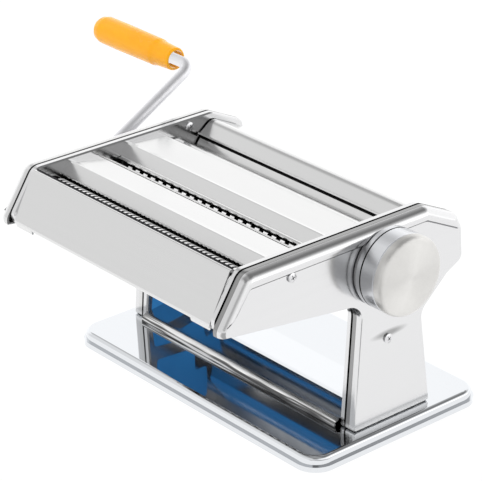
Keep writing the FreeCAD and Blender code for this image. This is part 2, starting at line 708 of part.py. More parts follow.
def make_knob():
    side = []
    for start in KNOB_GROOVES:
        side += [(start, KNOB_R), (start + 0.2, KNOB_R - 0.35), (start + 0.5, KNOB_R - 0.35),
                 (start + 0.7, KNOB_R)]
    profile = [(KNOB_IN, KNOB_R - 1.6), (KNOB_IN, KNOB_R - 0.4), (KNOB_IN + 0.5, KNOB_R)]
    profile += side
    profile += [(KNOB_OUT, KNOB_R, KNOB_ROUND), (KNOB_OUT, CAP_R + 0.05), (CAP_IN, CAP_R + 0.05),
                (CAP_IN, KNOB_R - 2.6), (WEB_OUT, KNOB_R - 2.6), (WEB_OUT, 0), (WEB_IN, 0),
                (WEB_IN, KNOB_R - 1.6)]
    knob = turned(KNOB_Y, KNOB_Z, profile)
    hole = flatted(rod(KNOB_Y, KNOB_Z, AXLE_END_R + 0.08, WEB_IN - 1, WEB_OUT + 1),
                   KNOB_Y, KNOB_Z, FLAT_LEVEL + 0.08, WEB_IN - 2, WEB_OUT + 2)
    knob = knob.cut(hole).cut(rod(KNOB_Y, KNOB_Z + PIN_REACH, PIN_R, WEB_IN - 1, WEB_OUT + 1))
    save("knob_body", [knob])
    save("knob_cap", [turned(KNOB_Y, KNOB_Z, [
        (CAP_IN, 0), (CAP_IN, CAP_R), (KNOB_OUT - 0.2, CAP_R, 0.5), (CAP_OUT, CAP_R / 2, CAP_DOME),
        (CAP_OUT, 0)])])
    save("index_pin", [rod(KNOB_Y, KNOB_Z + PIN_REACH, PIN_R, FACE_X + 0.2, WEB_OUT)])
    save("knob_spring", [tube(KNOB_Y, KNOB_Z, AXLE_END_R + 0.6, AXLE_END_R + 1.8,
                              WEB_OUT, WEB_OUT + 2.2)])
    clip = tube(KNOB_Y, KNOB_Z, AXLE_END_R, AXLE_END_R + 2.2, STUB_END - 1.6, STUB_END - 0.4)
    save("axle_clip", [clip])


def make_index_ring():
    """A thin ring on the cover, with an arc slot whose ends stop the knob."""
    ring = tube(KNOB_Y, KNOB_Z, JOURNAL_R + 1.5, KNOB_R - 1.0, FACE_X, KNOB_IN - 0.5)
    arc = tube(KNOB_Y, KNOB_Z, PIN_REACH - PIN_R - 0.4, PIN_REACH + PIN_R + 0.4,
               FACE_X - 1, KNOB_IN)
    margin = 0.12
    steps = [math.pi / 2 + margin - k * (KNOB_TURN + 2 * margin) / 8 for k in range(9)]
    fan = [V(FACE_X - 1, KNOB_Y, KNOB_Z)]
    fan += [V(FACE_X - 1, KNOB_Y + 40 * math.cos(a), KNOB_Z + 40 * math.sin(a)) for a in steps]
    wedge = Part.Face(Part.makePolygon(fan + fan[:1])).extrude(V(3, 0, 0))
    seat = face_panel(FACE_X, KNOB_IN, inset=0.3)
    save("index_ring", [ring.cut(arc.common(wedge)).common(seat)])


# Crank and grip

def make_crank():
    """A round rod bent twice, into plug, arm and grip spindle, with a driving pin across it."""
    y, z = SOCKET_HOLES[0]
    end_y = y + CRANK_REACH * math.cos(CRANK_ANGLE)
    end_z = z + CRANK_REACH * math.sin(CRANK_ANGLE)
    plug_end = -JOURNAL_LONG + SOCKET_DEPTH - 1.0
    spindle_end = GRIP_FAR + 12.0
    arm = V(0, math.cos(CRANK_ANGLE), math.sin(CRANK_ANGLE))
    along = V(1, 0, 0)
    low = V(CRANK_X, y, z)
    high = V(CRANK_X, end_y, end_z)
    b = CRANK_BEND
    k = b * (1 - math.sqrt(0.5))
    path = Part.Wire([
        Part.LineSegment(V(plug_end, y, z), low + along * b).toShape(),
        Part.Arc(low + along * b, low + (along + arm) * k, low + arm * b).toShape(),
        Part.LineSegment(low + arm * b, high - arm * b).toShape(),
        Part.Arc(high - arm * b, high - (along + arm) * k, high - along * b).toShape(),
        Part.LineSegment(high - along * b, V(spindle_end, end_y, end_z)).toShape()])
    ring = Part.Wire(Part.makeCircle(CRANK_ROD_R, V(plug_end, y, z), V(-1, 0, 0)))
    crank = path.makePipeShell([ring], True, False)
    pin_x = -JOURNAL_LONG + SLOT_DEPTH - CROSS_PIN_R - 0.3
    pin = Part.makeCylinder(CROSS_PIN_R, 2 * CROSS_PIN_HALF, V(pin_x, y, z - CROSS_PIN_HALF))
    save("crank_rod", [crank.cut(pin)])
    save("crank_pin", [pin])
    save("grip_collar", [tube(end_y, end_z, CRANK_ROD_R, 4.6, GRIP_NEAR - 9.0, GRIP_NEAR - 7.0)])
    save("grip_clip", [tube(end_y, end_z, CRANK_ROD_R, 4.8, spindle_end + 2.0, spindle_end + 3.2)])
    make_grip(end_y, end_z, spindle_end)


def make_grip(y, z, spindle_end):
    far = GRIP_FAR
    outside = [(GRIP_NEAR, 5.4), (GRIP_NEAR, 6.2), (GRIP_NEAR - 1.0, 6.8), (GRIP_NEAR - 13, 7.4),
               (GRIP_NEAR - 16, 8.1), (far + 22, 8.4), (far + 7.5, 8.3), (far + 4.0, 7.5),
               (far + 1.2, 5.4), (far, 2.4), (far, 0)]
    inside = [(spindle_end - 1.5, 0), (spindle_end - 1.5, 5.2), (spindle_end + 6, 5.2),
              (spindle_end + 6, CRANK_ROD_R + 0.1), (GRIP_NEAR - 9.6, CRANK_ROD_R + 0.1),
              (GRIP_NEAR - 9.6, 4.9), (GRIP_NEAR - 6.6, 5.1)]
    save("grip", [turned(y, z, outside + inside)])


def main():
    os.makedirs("parts", exist_ok=True)
    make_base()
    make_foot_brackets()
    make_base_screws()
    make_inner_sides()
    make_outer_covers()
    make_plates()
    make_tie_rods()
    make_leg_posts()
    make_cover_lugs()
    make_screws()
    make_bearings()
    make_axle_bracket()
    make_scrapers()
    make_gears()
    make_cutter_rollers()
    make_combs()
    make_smooth_rollers()
    make_axle()
    make_knob()
    make_index_ring()
    make_crank()


main()
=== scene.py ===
# %% [markdown]
# # Dressing a hand cranked pasta machine
# The solids of this machine come from a CAD program, at their true size and place.
# This lesson gives them the looks of the real thing: a camera, a studio, finishes of
# polished sheet, and the pieces that are better made here than in CAD.
# One unit is a metre, so lengths in millimetres are multiplied by MM.

# %% The frame
import bpy
import bmesh
import json
import math
from mathutils import Matrix, Vector


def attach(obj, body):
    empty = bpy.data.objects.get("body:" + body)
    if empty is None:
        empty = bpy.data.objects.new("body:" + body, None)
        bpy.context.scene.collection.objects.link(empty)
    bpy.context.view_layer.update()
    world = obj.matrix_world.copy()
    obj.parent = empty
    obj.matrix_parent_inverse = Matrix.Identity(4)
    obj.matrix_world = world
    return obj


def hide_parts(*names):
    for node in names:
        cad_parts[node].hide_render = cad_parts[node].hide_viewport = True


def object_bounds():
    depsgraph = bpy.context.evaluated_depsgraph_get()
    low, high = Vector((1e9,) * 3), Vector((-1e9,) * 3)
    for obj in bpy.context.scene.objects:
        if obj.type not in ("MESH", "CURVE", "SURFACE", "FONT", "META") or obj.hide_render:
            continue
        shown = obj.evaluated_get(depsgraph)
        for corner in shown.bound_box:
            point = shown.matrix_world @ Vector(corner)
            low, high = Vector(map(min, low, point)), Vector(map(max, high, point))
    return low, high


MM = 0.001
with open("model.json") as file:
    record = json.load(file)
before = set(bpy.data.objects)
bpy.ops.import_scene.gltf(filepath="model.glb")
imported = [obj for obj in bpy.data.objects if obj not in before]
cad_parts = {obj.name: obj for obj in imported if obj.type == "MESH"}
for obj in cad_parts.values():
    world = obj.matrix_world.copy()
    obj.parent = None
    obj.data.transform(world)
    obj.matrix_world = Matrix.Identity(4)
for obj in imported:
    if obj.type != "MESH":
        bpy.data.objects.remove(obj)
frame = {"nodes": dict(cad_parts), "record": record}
nodes = frame["nodes"]
cad_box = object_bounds()
low, high = ([round(side, 3) for side in corner] for corner in cad_box)
print(len(nodes), "solids from", low, "to", high)

# %% [markdown]
# ## The camera
# A product shot is taken with a long lens, so that the machine keeps its proportions.
# The place and the three angles could be tried by hand. Here they were worked out from
# straight edges of the picture, and the camera's matrix is filled in with them: its columns
# are what the camera calls right, up and backwards.

# %% Camera
CAMERA_PLACE = Vector((0.8685, -0.7706, 0.6287))
AZIMUTH, ELEVATION, ROLL = (math.radians(a) for a in (49.314, 25.312, -0.224))
LENS, SENSOR = 176.37, 36.0
NEAREST, FARTHEST = 0.05, 50.0

backwards = Vector((math.sin(AZIMUTH) * math.cos(ELEVATION),
                    -math.cos(AZIMUTH) * math.cos(ELEVATION), math.sin(ELEVATION)))
level = Vector((math.cos(AZIMUTH), math.sin(AZIMUTH), 0.0))
upright = backwards.cross(level)
right = level * math.cos(ROLL) + upright * math.sin(ROLL)
up = upright * math.cos(ROLL) - level * math.sin(ROLL)

lens = bpy.data.cameras.new("photo_camera")
lens.lens = LENS
lens.sensor_width = SENSOR
lens.clip_start, lens.clip_end = NEAREST, FARTHEST
camera = bpy.data.objects.new("photo_camera", lens)
turned = Matrix((right, up, backwards)).transposed().to_4x4()
camera.matrix_world = Matrix.Translation(CAMERA_PLACE) @ turned
bpy.context.scene.collection.objects.link(camera)
bpy.context.scene.camera = camera
bpy.context.scene.view_settings.view_transform = "Standard"
print("camera at", [round(v, 3) for v in camera.location], "with a lens of", LENS, "mm")

# %% [markdown]
# ## Small tools for nodes
# The room and every finish are built from nodes, and three things are done again and
# again: a node is added with its values filled in, a soft change is drawn from one value
# to another, and values are combined. A short function for each keeps the rest readable.

# %% Tools for nodes


def put(tree, kind, **settings):
    """A new node; a setting is one of its properties or one of its inputs."""
    node = tree.nodes.new(kind)
    for key, value in settings.items():
        if hasattr(node, key):
            setattr(node, key, value)
        else:
            node.inputs[key.replace("_", " ")].default_value = value
    return node


def span(tree, source, start, stop, first, last):
    """A smooth change from first to last while the source goes from start to stop."""
    node = put(tree, "ShaderNodeMapRange", interpolation_type="SMOOTHSTEP", From_Min=start,
               From_Max=stop, To_Min=first, To_Max=last)
    tree.links.new(source, node.inputs["Value"])
    return node.outputs[0]


def combine(tree, operation, *sources):
    """One math node fed by sockets or by plain numbers."""
    node = put(tree, "ShaderNodeMath", operation=operation)
    for k, source in enumerate(sources):
        if isinstance(source, (int, float)):
            node.inputs[k].default_value = source
        else:
            tree.links.new(source, node.inputs[k])
    return node.outputs[0]


print("tools for nodes ready")

# %% [markdown]
# ## The studio
# Polished sheet has hardly any colour of its own: it shows the room. So the room is the
# most important finish here. It is a white tent, very bright at the height of the
# table and to the left, and dim overhead, to the right and around the camera. The dim
# parts draw the dark lines along the rounded edges.
# The room could be a picture, but a few nodes that turn a direction into a brightness
# are smaller and easier to change. Steel gives back about six tenths of the light, so
# for reflections the room is brighter than white, as in a photo exposed for steel.
# Each change below is four numbers: where it starts and ends along one direction, which
# runs from -1 to 1, and the share of light before and after it.

# %% Room's brightness
TENT = 1.5
ABOVE_TABLE = (0.20, 0.43, 1.0, 0.95)
OVERHEAD, CEILING_LOSS = (0.57, 0.68, 0.0, 1.0), (-0.21, 0.20, 0.22, 0.60)
TO_THE_RIGHT, TOWARDS_FRONT = (-0.35, 0.25, 1.0, 0.45), (-0.58, -0.10, 0.74, 1.0)
LOW_DOWN, FAR_FRONT = (0.42, 0.58, 1.0, 0.0), (-0.74, -0.62, 1.0, 0.0)
CAMERA_SHADE = (0.955, 0.985, 1.0, 0.6)
HORIZON_RIGHT, HORIZON_BACK = (0.40, 0.60, 0.0, 1.0), (0.20, 0.40, 0.0, 1.0)
HORIZON_LOW, HORIZON_GLOW = (0.22, 0.38, 1.0, 0.0), 0.35

world = bpy.data.worlds.new("white_tent")
bpy.context.scene.world = world
world.use_nodes = True
sky = world.node_tree
sky.nodes.clear()
direction = put(sky, "ShaderNodeTexCoord").outputs["Generated"]
parts = put(sky, "ShaderNodeSeparateXYZ")
sky.links.new(direction, parts.inputs[0])
x, y, z = parts.outputs
towards = put(sky, "ShaderNodeVectorMath", operation="DOT_PRODUCT")
towards.inputs[1].default_value = backwards
sky.links.new(direction, towards.inputs[0])

tent = combine(sky, "MULTIPLY", span(sky, y, *TOWARDS_FRONT), TENT)
lost = combine(sky, "MULTIPLY", span(sky, z, *OVERHEAD), span(sky, y, *CEILING_LOSS))
tent = combine(sky, "MULTIPLY", tent, combine(sky, "SUBTRACT", 1.0, lost))
tent = combine(sky, "MULTIPLY", tent, span(sky, z, *ABOVE_TABLE))
spared = combine(sky, "MAXIMUM", span(sky, z, *LOW_DOWN), span(sky, y, *FAR_FRONT))
dimming = combine(sky, "MAXIMUM", span(sky, x, *TO_THE_RIGHT), spared)
tent = combine(sky, "MULTIPLY", tent, dimming)
tent = combine(sky, "MULTIPLY", tent, span(sky, towards.outputs["Value"], *CAMERA_SHADE))
horizon = combine(sky, "MULTIPLY", span(sky, x, *HORIZON_RIGHT), span(sky, y, *HORIZON_BACK))
horizon = combine(sky, "MULTIPLY", horizon, span(sky, z, *HORIZON_LOW))
tent = combine(sky, "MULTIPLY", tent, combine(sky, "MULTIPLY_ADD", horizon, HORIZON_GLOW, 1.0))
print("brightness worked out by", len(sky.nodes), "nodes")

# %% [markdown]
# Steel mirrors this room as it is. Dull surfaces take a little less light from it, and to
# the camera itself it is plain white paper. The Light Path node tells these three apart.

# %% Room as seen, mirrored and felt
SOFT_SHARE = 0.85
WHITE = (1.0, 1.0, 1.0, 1.0)

seen = put(sky, "ShaderNodeLightPath").outputs
softened = combine(sky, "MULTIPLY", tent, SOFT_SHARE)
mirrored = put(sky, "ShaderNodeMix", data_type="FLOAT")
shown = put(sky, "ShaderNodeMix", data_type="FLOAT")
shown.inputs["B"].default_value = 1.0
glow = put(sky, "ShaderNodeBackground")
out = put(sky, "ShaderNodeOutputWorld")
sky.links.new(seen["Is Glossy Ray"], mirrored.inputs[0])
sky.links.new(softened, mirrored.inputs["A"])
sky.links.new(tent, mirrored.inputs["B"])
sky.links.new(seen["Is Camera Ray"], shown.inputs[0])
sky.links.new(mirrored.outputs[0], shown.inputs["A"])
sky.links.new(shown.outputs[0], glow.inputs["Strength"])
glow.inputs["Color"].default_value = WHITE
sky.links.new(glow.outputs[0], out.inputs[0])
print("room made of", len(sky.nodes), "nodes")

# %% [markdown]
# ## Lamps and floor
# The tent alone lights evenly. Three large lamps add a soft shadow and the sheen on the
# grip. They are left out of reflections, so that the steel shows only the tent.
# The floor is paper that also glows for the camera and for reflections: it looks
# white, and it still takes the soft shadow of the machine.

# %% Lamps
LAMPS = [("key_lamp", (-0.9, -1.3, 1.7), 1.0, 15.0),
         ("side_lamp", (1.5, -0.2, 1.5), 1.2, 10.0),
         ("back_lamp", (-0.6, 1.5, 1.6), 1.2, 10.0)]

for name, place, size, power in LAMPS:
    lamp = bpy.data.lights.new(name, "AREA")
    lamp.size = size
    lamp.energy = power
    holder = bpy.data.objects.new(name, lamp)
    holder.location = place
    holder.rotation_euler = Vector(place).to_track_quat("Z", "Y").to_euler()
    holder.visible_glossy = False
    bpy.context.scene.collection.objects.link(holder)
print(len(LAMPS), "lamps")

# %% [markdown]
# A bmesh is a mesh in the making. One function turns it into an object, in the same way
# for the floor and for every piece that is added further below.

# %% From bmesh to object


def mesh_piece(name, bm, smooth=False):
    """A bmesh made into an object whose place is in its mesh."""
    mesh = bpy.data.meshes.new(name)
    bmesh.ops.recalc_face_normals(bm, faces=bm.faces)
    for face in bm.faces:
        face.smooth = smooth
    bm.to_mesh(mesh)
    bm.free()
    piece = bpy.data.objects.new(name, mesh)
    bpy.context.scene.collection.objects.link(piece)
    return piece


print("pieces can be made")

# %% Floor
FLOOR_HALF, FLOOR_DROP = 6.0, 0.1 * MM
PAPER, PAPER_ROUGHNESS = (0.86, 0.86, 0.87, 1.0), 0.8

bm = bmesh.new()
bmesh.ops.create_grid(bm, x_segments=1, y_segments=1, size=FLOOR_HALF)
bmesh.ops.translate(bm, verts=bm.verts, vec=(0, 0, -FLOOR_DROP))
floor = mesh_piece("studio_floor", bm)
paper = bpy.data.materials.new("floor_paper")
paper.use_nodes = True
tree = paper.node_tree
matt = tree.nodes["Principled BSDF"]
matt.inputs["Base Color"].default_value = PAPER
matt.inputs["Roughness"].default_value = PAPER_ROUGHNESS
floor.data.materials.append(paper)
print("floor laid,", 2 * FLOOR_HALF, "m wide")

# %% [markdown]
# In the steel the paper is brighter than white, as the tent is. Only the part to the
# right of the base and towards the camera is dimmer there. It is mirrored in the faces
# that look that way, and makes them gray.

# %% Floor's glow
FLOOR_GLOW = 0.90
FLOOR_WHITE, FLOOR_MIRRORED = 1.05, 1.38
CORNER_WAY, SHADED_CORNER = (0.75, -0.66, 0.0), (0.86, 0.96, 1.0, 0.4)
BESIDE_BASE = (0.113, 0.118, 1.0, 0.0)

path = put(tree, "ShaderNodeLightPath").outputs
level_way = put(tree, "ShaderNodeVectorMath", operation="NORMALIZE")
corner = put(tree, "ShaderNodeVectorMath", operation="DOT_PRODUCT")
corner.inputs[1].default_value = CORNER_WAY
spot = put(tree, "ShaderNodeSeparateXYZ")
for target in (level_way, spot):
    tree.links.new(put(tree, "ShaderNodeTexCoord").outputs["Object"], target.inputs[0])
tree.links.new(level_way.outputs[0], corner.inputs[0])
dim = combine(tree, "MAXIMUM", span(tree, corner.outputs["Value"], *SHADED_CORNER),
              span(tree, spot.outputs["X"], *BESIDE_BASE))
mirrored_floor = combine(tree, "MULTIPLY", dim, FLOOR_MIRRORED)
whiter = put(tree, "ShaderNodeMix", data_type="FLOAT")
whiter.inputs["A"].default_value = FLOOR_WHITE
tree.links.new(path["Is Glossy Ray"], whiter.inputs["Factor"])
tree.links.new(mirrored_floor, whiter.inputs["B"])
light = put(tree, "ShaderNodeEmission")
light.inputs[0].default_value = WHITE
shows = combine(tree, "MAXIMUM", path["Is Camera Ray"], path["Is Glossy Ray"])
share = combine(tree, "MULTIPLY", shows, FLOOR_GLOW)
both = put(tree, "ShaderNodeMixShader")
tree.links.new(whiter.outputs[0], light.inputs["Strength"])
tree.links.new(share, both.inputs[0])
tree.links.new(matt.outputs[0], both.inputs[1])
tree.links.new(light.outputs[0], both.inputs[2])
tree.links.new(both.outputs[0], tree.nodes["Material Output"].inputs[0])
print("floor paper made of", len(tree.nodes), "nodes")

# %% [markdown]
# ## Effects shared by several finishes
# Rolled and polished sheet is never quite even. It has hairlines along the way it was
# polished, a slow waviness, and faint marks of handling. These could be painted, but
# noise that is read at the object's own coordinates has no seams and fits any piece.
# Each effect is a node group, built once, and every finish feeds it its own scale.

# %% Group builder


def effect(name, inputs, outputs):
    """An empty shader node group with named sockets; returns it with its two end nodes."""
    group = bpy.data.node_groups.new(name, "ShaderNodeTree")
    for label, kind in inputs:
        group.interface.new_socket(name=label, in_out="INPUT", socket_type=kind)
    for label, kind in outputs:
        group.interface.new_socket(name=label, in_out="OUTPUT", socket_type=kind)
    return group, group.nodes.new("NodeGroupInput").outputs, group.nodes.new("NodeGroupOutput").inputs


VECTOR, NUMBER = "NodeSocketVector", "NodeSocketFloat"
print("group builder ready")

# %% Hairlines and waviness
hairlines, given, result = effect("hairlines", [("Vector", VECTOR), ("Along", VECTOR)],
                                  [("Lines", NUMBER), ("Waves", NUMBER)])
stretch = put(hairlines, "ShaderNodeVectorMath", operation="MULTIPLY")
fine = put(hairlines, "ShaderNodeTexNoise", Scale=1.0, Detail=3.0, Roughness=0.7)
slow = put(hairlines, "ShaderNodeTexNoise", Scale=22.0, Detail=1.0)
hairlines.links.new(given["Vector"], stretch.inputs[0])
hairlines.links.new(given["Along"], stretch.inputs[1])
hairlines.links.new(stretch.outputs[0], fine.inputs["Vector"])
hairlines.links.new(given["Vector"], slow.inputs["Vector"])
hairlines.links.new(fine.outputs[0], result["Lines"])
hairlines.links.new(slow.outputs[0], result["Waves"])
print("hairlines group:", len(hairlines.nodes), "nodes")

# %% Marks of handling
handling, given, result = effect("handling", [("Vector", VECTOR), ("Size", NUMBER)],
                                 [("Marks", NUMBER)])
cloud = put(handling, "ShaderNodeTexNoise", Detail=5.0, Roughness=0.65, Distortion=0.4)
keep = put(handling, "ShaderNodeMapRange", From_Min=0.48, From_Max=0.72)
handling.links.new(given["Vector"], cloud.inputs["Vector"])
handling.links.new(given["Size"], cloud.inputs["Scale"])
handling.links.new(cloud.outputs[0], keep.inputs["Value"])
handling.links.new(keep.outputs[0], result["Marks"])
print("handling group:", len(handling.nodes), "nodes")

# %% [markdown]
# ## Places told by position
# Some places differ from the rest of their piece. The raw cut edges of the sheet meet in
# a narrow joint along the top of each side, and no light comes back out of it. The
# grooves of the cutters are painted black as painted shade, while their lands are ground
# bright. The knob was turned, which left fine rings about its axis.
# A band is told by its distance from the middle of the machine, and a groove or a ring by
# its distance from an axis. The top of a roller, where it turns under the sheet, is told
# by its height: painted shade covers it there and hides its lands. A soft oval mark is
# told by its distance from a middle, with each direction measured in sizes of its own.

# %% Band between two distances from the middle
band, given, result = effect("band", [("Vector", VECTOR), ("From", NUMBER), ("To", NUMBER)],
                             [("Mask", NUMBER)])
place = put(band, "ShaderNodeSeparateXYZ")
band.links.new(given["Vector"], place.inputs[0])
outwards = combine(band, "ABSOLUTE", place.outputs["X"])
inside = combine(band, "MULTIPLY", combine(band, "GREATER_THAN", outwards, given["From"]),
                 combine(band, "LESS_THAN", outwards, given["To"]))
band.links.new(inside, result["Mask"])
print("band group:", len(band.nodes), "nodes")

# %% Core within a distance of an axis
core, given, result = effect("core", [("Vector", VECTOR), ("Axis", VECTOR), ("Radius", NUMBER),
                                      ("Half", NUMBER), ("Top", NUMBER)],
                             [("Mask", NUMBER), ("Reach", NUMBER)])
offset = put(core, "ShaderNodeVectorMath", operation="SUBTRACT")
across = put(core, "ShaderNodeVectorMath", operation="MULTIPLY")
across.inputs[1].default_value = (0.0, 1.0, 1.0)
reach = put(core, "ShaderNodeVectorMath", operation="LENGTH")
place = put(core, "ShaderNodeSeparateXYZ")
core.links.new(given["Vector"], offset.inputs[0])
core.links.new(given["Axis"], offset.inputs[1])
core.links.new(offset.outputs[0], across.inputs[0])
core.links.new(across.outputs[0], reach.inputs[0])
core.links.new(given["Vector"], place.inputs[0])
between = combine(core, "LESS_THAN", combine(core, "ABSOLUTE", place.outputs["X"]), given["Half"])
within = combine(core, "LESS_THAN", reach.outputs["Value"], given["Radius"])
above = combine(core, "GREATER_THAN", place.outputs["Z"], given["Top"])
either = combine(core, "MAXIMUM", within, above)
core.links.new(combine(core, "MULTIPLY", either, between), result["Mask"])
core.links.new(reach.outputs["Value"], result["Reach"])
print("core group:", len(core.nodes), "nodes")

# %% Soft oval about a middle
OVAL_FADE = (0.2, 1.0, 1.0, 0.0)

streak, given, result = effect("streak", [("Vector", VECTOR), ("Middle", VECTOR), ("Size", VECTOR)],
                               [("Mask", NUMBER)])
shrunk = put(streak, "ShaderNodeVectorMath", operation="DIVIDE")
spot = put(streak, "ShaderNodeVectorMath", operation="LENGTH")
away = put(streak, "ShaderNodeVectorMath", operation="SUBTRACT")
streak.links.new(given["Vector"], away.inputs[0])
streak.links.new(given["Middle"], away.inputs[1])
streak.links.new(away.outputs[0], shrunk.inputs[0])
streak.links.new(given["Size"], shrunk.inputs[1])
streak.links.new(shrunk.outputs[0], spot.inputs[0])
streak.links.new(span(streak, spot.outputs["Value"], *OVAL_FADE), result["Mask"])
print("streak group:", len(streak.nodes), "nodes")

# %% Glints along the machine inside an oval
# The glints are painted highlights: bright lines painted into the colour
GLINT_LINES, GLINT_EDGE = (9.0, 260.0, 260.0), (0.50, 0.60, 0.0, 1.0)

glints, given, result = effect("glints", [("Vector", VECTOR), ("Middle", VECTOR), ("Size", VECTOR)],
                               [("Mask", NUMBER)])
patch = put(glints, "ShaderNodeGroup", node_tree=streak)
lines = put(glints, "ShaderNodeGroup", node_tree=hairlines)
lines.inputs["Along"].default_value = GLINT_LINES
for key in ("Vector", "Middle", "Size"):
    glints.links.new(given[key], patch.inputs[key])
glints.links.new(given["Vector"], lines.inputs["Vector"])
bright = span(glints, lines.outputs["Lines"], *GLINT_EDGE)
glints.links.new(combine(glints, "MULTIPLY", patch.outputs["Mask"], bright), result["Mask"])
print("glints group:", len(glints.nodes), "nodes")

# %% [markdown]
# ## Metals
# All the metals share one recipe: a metallic surface whose roughness follows the hairlines
# and the marks, with a trace of bump. What differs is the colour, how rough the
# finish is, and which way it was polished. A recipe as a function keeps them alike.
# The depths of the bumps are real sizes, and their strength takes a few hundredths of them.

# %% Recipe for metal
HANDLING_SIZE, HANDLING_SHARE = 16.0, 0.35
POLISH_DEPTH, WAVE_DEPTH = 0.05 * MM, 1.0 * MM


def blank(name):
    """A new material, its node tree and its shader."""
    material = bpy.data.materials.new(name)
    material.use_nodes = True
    return material, material.node_tree, material.node_tree.nodes["Principled BSDF"]


def metal(name, colour, dull, rough, along, bump=0.02, wave=0.0):
    """Metal between colour and dull, roughness from rough[0] to rough[1], lines stretched by along."""
    material, tree, shader = blank(name)
    place = put(tree, "ShaderNodeTexCoord")
    lines = put(tree, "ShaderNodeGroup", node_tree=hairlines)
    lines.inputs["Along"].default_value = along
    marks = put(tree, "ShaderNodeGroup", node_tree=handling)
    marks.inputs["Size"].default_value = HANDLING_SIZE
    tint = put(tree, "ShaderNodeMix", data_type="RGBA")
    tint.inputs["A"].default_value = (*colour, 1.0)
    tint.inputs["B"].default_value = (*dull, 1.0)
    uneven = put(tree, "ShaderNodeMath", operation="MULTIPLY_ADD")
    uneven.inputs[1].default_value = HANDLING_SHARE
    spread = put(tree, "ShaderNodeMapRange", To_Min=rough[0], To_Max=rough[1])
    relief = put(tree, "ShaderNodeBump", Strength=bump, Distance=POLISH_DEPTH)
    for source in (lines, marks):
        tree.links.new(place.outputs["Object"], source.inputs["Vector"])
    tree.links.new(lines.outputs["Lines"], tint.inputs["Factor"])
    tree.links.new(tint.outputs["Result"], shader.inputs["Base Color"])
    tree.links.new(marks.outputs["Marks"], uneven.inputs[0])
    tree.links.new(lines.outputs["Lines"], uneven.inputs[2])
    tree.links.new(uneven.outputs[0], spread.inputs["Value"])
    tree.links.new(spread.outputs[0], shader.inputs["Roughness"])
    tree.links.new(lines.outputs["Lines"], relief.inputs["Height"])
    if wave:
        swell = put(tree, "ShaderNodeBump", Strength=wave, Distance=WAVE_DEPTH)
        tree.links.new(lines.outputs["Waves"], swell.inputs["Height"])
        tree.links.new(relief.outputs[0], swell.inputs["Normal"])
        relief = swell
    tree.links.new(relief.outputs[0], shader.inputs["Normal"])
    shader.inputs["Metallic"].default_value = 1.0
    return material


print("recipe for metal ready")

# %% [markdown]
# Four more functions change a finished metal. One gives the place that a mask names
# another gray and another dullness; below, this paints the dark joints, painted shade and painted
# highlights. One lets the rest of such a metal give off a little painted light, a glow with no lamp.
# The other two are for turned work: they cut fine rings into it, and draw its reflections out into
# wedges.

# %% Another gray where a mask says so


def toned(material, group, gray, dullness, **settings):
    """The same metal, with this gray and dullness where the group's mask says so."""
    tree = material.node_tree
    shader = tree.nodes["Principled BSDF"]
    mask = put(tree, "ShaderNodeGroup", node_tree=group)
    for key, value in settings.items():
        mask.inputs[key].default_value = value
    tree.links.new(put(tree, "ShaderNodeTexCoord").outputs["Object"], mask.inputs["Vector"])
    changes = (("Base Color", "RGBA", (gray, gray, gray, 1.0)), ("Roughness", "FLOAT", dullness))
    for target, kind, value in changes:
        mix = put(tree, "ShaderNodeMix", data_type=kind)
        mix.inputs["B"].default_value = value
        tree.links.new(shader.inputs[target].links[0].from_socket, mix.inputs["A"])
        tree.links.new(mask.outputs["Mask"], mix.inputs["Factor"])
        tree.links.new(mix.outputs["Result"], shader.inputs[target])
    return material


print("metals can be toned")

# %% Painted light of its own
BLACK = (0.0, 0.0, 0.0, 1.0)


def paint_land_light(material, strength):
    """Adds painted light, a little glow where the metal's last mask is off, in place of a strong lamp
    in front.
    """
    tree = material.node_tree
    shader = tree.nodes["Principled BSDF"]
    mask = shader.inputs["Roughness"].links[0].from_node.inputs["Factor"].links[0].from_socket
    light = put(tree, "ShaderNodeMix", data_type="RGBA")
    light.inputs["A"].default_value = WHITE
    light.inputs["B"].default_value = BLACK
    tree.links.new(mask, light.inputs["Factor"])
    tree.links.new(light.outputs["Result"], shader.inputs["Emission Color"])
    shader.inputs["Emission Strength"].default_value = strength


print("lands can be lit")

# %% Turned work
RING_SCALE, RING_DEPTH = 2200.0, 0.1 * MM


def ringed(material, axis, strength):
    """The same metal with the fine rings that turning leaves about an axis."""
    tree = material.node_tree
    shader = tree.nodes["Principled BSDF"]
    reach = put(tree, "ShaderNodeGroup", node_tree=core)
    reach.inputs["Axis"].default_value = axis
    rings = put(tree, "ShaderNodeTexNoise", noise_dimensions="1D", Scale=RING_SCALE, Detail=2.0)
    cut = put(tree, "ShaderNodeBump", Strength=strength, Distance=RING_DEPTH)
    tree.links.new(put(tree, "ShaderNodeTexCoord").outputs["Object"], reach.inputs["Vector"])
    tree.links.new(reach.outputs["Reach"], rings.inputs["W"])
    tree.links.new(rings.outputs[0], cut.inputs["Height"])
    tree.links.new(shader.inputs["Normal"].links[0].from_socket, cut.inputs["Normal"])
    tree.links.new(cut.outputs[0], shader.inputs["Normal"])
    return material


def turned_about(material, axis, amount):
    """The same metal, stretching its reflections the way turning about an axis does."""
    tree = material.node_tree
    shader = tree.nodes["Principled BSDF"]
    arm = put(tree, "ShaderNodeVectorMath", operation="SUBTRACT")
    arm.inputs[1].default_value = axis
    worldly = put(tree, "ShaderNodeVectorTransform", vector_type="VECTOR", convert_from="OBJECT",
                  convert_to="WORLD")
    tree.links.new(put(tree, "ShaderNodeTexCoord").outputs["Object"], arm.inputs[0])
    tree.links.new(arm.outputs[0], worldly.inputs[0])
    tree.links.new(worldly.outputs[0], shader.inputs["Tangent"])
    shader.inputs["Anisotropic"].default_value = amount
    return material


print("metals can be turned")
